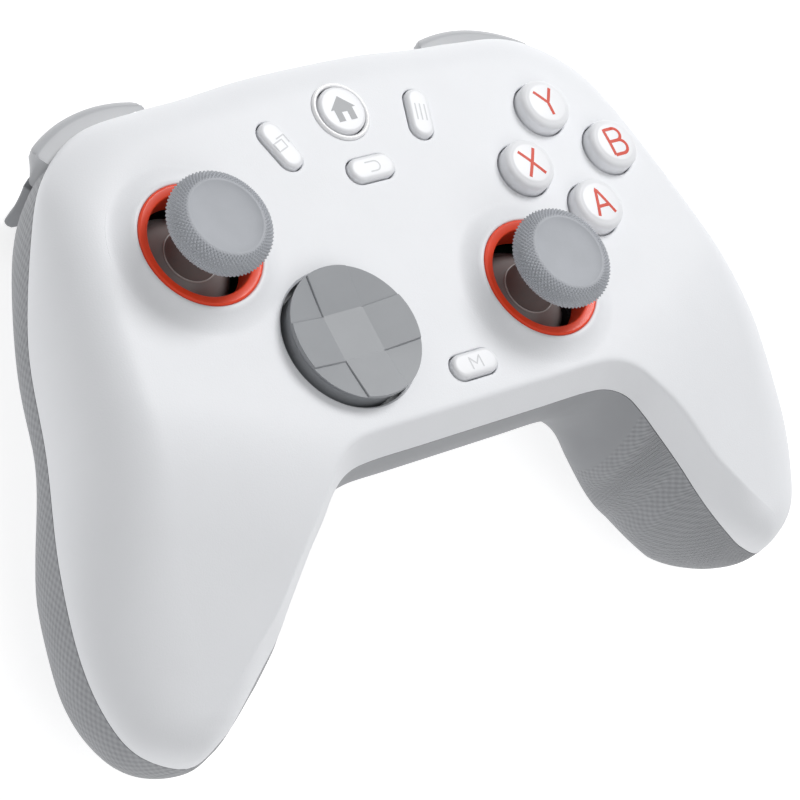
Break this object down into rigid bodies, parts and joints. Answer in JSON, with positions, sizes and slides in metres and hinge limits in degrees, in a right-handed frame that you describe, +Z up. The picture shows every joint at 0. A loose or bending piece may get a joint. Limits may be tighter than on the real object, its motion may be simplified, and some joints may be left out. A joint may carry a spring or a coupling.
{
  "type": "gamepad controller",
  "caption": "Two-handed gamepad with twin thumb sticks, a rocking direction pad, face buttons, hinged bumpers and triggers, and rumble motors inside a two-shell moulded body.",
  "frame": {"origin": "centre of the bounding box at its base: the ground under the pad, which rests on the grip undersides and leans forward onto the trigger tips", "axes": "+X to the pad's right, +Y away from the player, toward the triggers, +Z up from the ground; the face is tilted 14.1 degrees about X, so its top edge is the lower one"},
  "size_m": [0.155, 0.1054, 0.0492],
  "materials": {
    "white_shell": "fine spark texture",
    "grey_shell": "fine dot texture on the grips",
    "orange_ring": "satin",
    "thumb_rubber": "knurled rim",
    "dark_stalk": "matte",
    "grey_pad": "satin",
    "white_button": "satin",
    "light_ring": "translucent light guide",
    "light_grey": "satin",
    "grey_trigger": "fine texture",
    "inner_frame": "as moulded",
    "contact_rubber": "matte",
    "board": "solder mask",
    "cell": "shrink sleeve",
    "steel": "plain",
    "weight": "sintered"
  },
  "bodies": {
    "body": {"front_shell": "white_shell", "back_shell": "grey_shell", "left_stick_ring": "orange_ring", "right_stick_ring": "orange_ring", "left_stick_housing": "steel", "right_stick_housing": "steel", "dpad_post": "inner_frame", "home_ring": "light_ring", "bumper_pins": "steel", "trigger_pins": "steel", "trigger_springs": "steel", "shoulder_frame": "inner_frame", "face_membrane": "contact_rubber", "dpad_membrane": "contact_rubber", "center_membrane": "contact_rubber", "main_board": "board", "battery": "cell", "usb_socket": "steel", "left_motor": "steel", "right_motor": "steel", "shell_screws": "steel", "board_screws": "steel"},
    "left_carrier": {"left_stick_carrier": "dark_stalk"},
    "left_yoke": {"left_stick_yoke": "steel"},
    "left_stick": {"left_stick_stalk": "dark_stalk", "left_stick_cap": "thumb_rubber"},
    "right_carrier": {"right_stick_carrier": "dark_stalk"},
    "right_yoke": {"right_stick_yoke": "steel"},
    "right_stick": {"right_stick_stalk": "dark_stalk", "right_stick_cap": "thumb_rubber"},
    "dpad_cross": {"dpad_spider": "steel"},
    "dpad_plate": {"dpad": "grey_pad"},
    "button_a": {"button_a": "white_button"},
    "button_b": {"button_b": "white_button"},
    "button_x": {"button_x": "white_button"},
    "button_y": {"button_y": "white_button"},
    "home_button": {"home_button": "white_button"},
    "view_button": {"view_button": "white_button"},
    "menu_button": {"menu_button": "white_button"},
    "share_button": {"share_button": "white_button"},
    "mode_button": {"mode_button": "white_button"},
    "left_bumper": {"left_bumper": "light_grey"},
    "left_trigger": {"left_trigger": "grey_trigger"},
    "left_weight": {"left_motor_weight": "weight"},
    "right_bumper": {"right_bumper": "light_grey"},
    "right_trigger": {"right_trigger": "grey_trigger"},
    "right_weight": {"right_motor_weight": "weight"}
  },
  "joints": [
    {"name": "left_stick_click", "type": "slide", "parent": "body", "child": "left_carrier", "axis": [0, -0.2441, -0.9697], "range_m": [0, 0.0005], "stiffness_N_per_m": 5000},
    {"name": "left_stick_fore_aft", "type": "hinge", "parent": "left_carrier", "child": "left_yoke", "pos_m": [-0.0399, 0.02139, 0.02085], "axis": [1, 0, 0], "range_deg": [-13, 13], "stiffness_Nm_per_rad": 0.1},
    {"name": "left_stick_sideways", "type": "hinge", "parent": "left_yoke", "child": "left_stick", "pos_m": [-0.0399, 0.02139, 0.02085], "axis": [0, 0.9697, -0.2441], "range_deg": [-13, 13], "stiffness_Nm_per_rad": 0.1},
    {"name": "right_stick_click", "type": "slide", "parent": "body", "child": "right_carrier", "axis": [0, -0.2441, -0.9697], "range_m": [0, 0.0005], "stiffness_N_per_m": 5000},
    {"name": "right_stick_fore_aft", "type": "hinge", "parent": "right_carrier", "child": "right_yoke", "pos_m": [0.0206, 0.00151, 0.02586], "axis": [1, 0, 0], "range_deg": [-13, 13], "stiffness_Nm_per_rad": 0.1},
    {"name": "right_stick_sideways", "type": "hinge", "parent": "right_yoke", "child": "right_stick", "pos_m": [0.0206, 0.00151, 0.02586], "axis": [0, 0.9697, -0.2441], "range_deg": [-13, 13], "stiffness_Nm_per_rad": 0.1},
    {"name": "dpad_fore_aft", "type": "hinge", "parent": "body", "child": "dpad_cross", "pos_m": [-0.0206, 0.00261, 0.03228], "axis": [1, 0, 0], "range_deg": [-4, 4], "stiffness_Nm_per_rad": 0.5},
    {"name": "dpad_sideways", "type": "hinge", "parent": "dpad_cross", "child": "dpad_plate", "pos_m": [-0.0206, 0.00261, 0.03228], "axis": [0, 0.9697, -0.2441], "range_deg": [-4, 4], "stiffness_Nm_per_rad": 0.5},
    {"name": "button_a_press", "type": "slide", "parent": "body", "child": "button_a", "axis": [0, -0.2441, -0.9697], "range_m": [0, 0.0012], "stiffness_N_per_m": 600},
    {"name": "button_b_press", "type": "slide", "parent": "body", "child": "button_b", "axis": [0, -0.2441, -0.9697], "range_m": [0, 0.0012], "stiffness_N_per_m": 600},
    {"name": "button_x_press", "type": "slide", "parent": "body", "child": "button_x", "axis": [0, -0.2441, -0.9697], "range_m": [0, 0.0012], "stiffness_N_per_m": 600},
    {"name": "button_y_press", "type": "slide", "parent": "body", "child": "button_y", "axis": [0, -0.2441, -0.9697], "range_m": [0, 0.0012], "stiffness_N_per_m": 600},
    {"name": "home_button_press", "type": "slide", "parent": "body", "child": "home_button", "axis": [0, -0.2441, -0.9697], "range_m": [0, 0.0006], "stiffness_N_per_m": 900},
    {"name": "view_button_press", "type": "slide", "parent": "body", "child": "view_button", "axis": [0, -0.2441, -0.9697], "range_m": [0, 0.0006], "stiffness_N_per_m": 900},
    {"name": "menu_button_press", "type": "slide", "parent": "body", "child": "menu_button", "axis": [0, -0.2441, -0.9697], "range_m": [0, 0.0006], "stiffness_N_per_m": 900},
    {"name": "share_button_press", "type": "slide", "parent": "body", "child": "share_button", "axis": [0, -0.2441, -0.9697], "range_m": [0, 0.0006], "stiffness_N_per_m": 900},
    {"name": "mode_button_press", "type": "slide", "parent": "body", "child": "mode_button", "axis": [0, -0.2441, -0.9697], "range_m": [0, 0.0006], "stiffness_N_per_m": 900},
    {"name": "left_bumper_press", "type": "hinge", "parent": "body", "child": "left_bumper", "pos_m": [-0.03243, 0.04813, 0.01464], "axis": [0, 0.2441, 0.9697], "range_deg": [0, 2], "stiffness_Nm_per_rad": 0.6},
    {"name": "left_trigger_pull", "type": "hinge", "parent": "body", "child": "left_trigger", "pos_m": [-0.04225, 0.03641, 0.01089], "axis": [-1, 0, 0], "range_deg": [0, 16], "stiffness_Nm_per_rad": 0.15},
    {"name": "left_weight_spin", "type": "hinge", "parent": "body", "child": "left_weight", "pos_m": [-0.058, -0.02772, 0.02033], "axis": [0, 0.9697, -0.2441], "continuous": true},
    {"name": "right_bumper_press", "type": "hinge", "parent": "body", "child": "right_bumper", "pos_m": [0.03243, 0.04813, 0.01464], "axis": [0, -0.2441, -0.9697], "range_deg": [0, 2], "stiffness_Nm_per_rad": 0.6},
    {"name": "right_trigger_pull", "type": "hinge", "parent": "body", "child": "right_trigger", "pos_m": [0.04225, 0.03641, 0.01089], "axis": [-1, 0, 0], "range_deg": [0, 16], "stiffness_Nm_per_rad": 0.15},
    {"name": "right_weight_spin", "type": "hinge", "parent": "body", "child": "right_weight", "pos_m": [0.058, -0.02772, 0.02033], "axis": [0, 0.9697, -0.2441], "continuous": true}
  ]
}
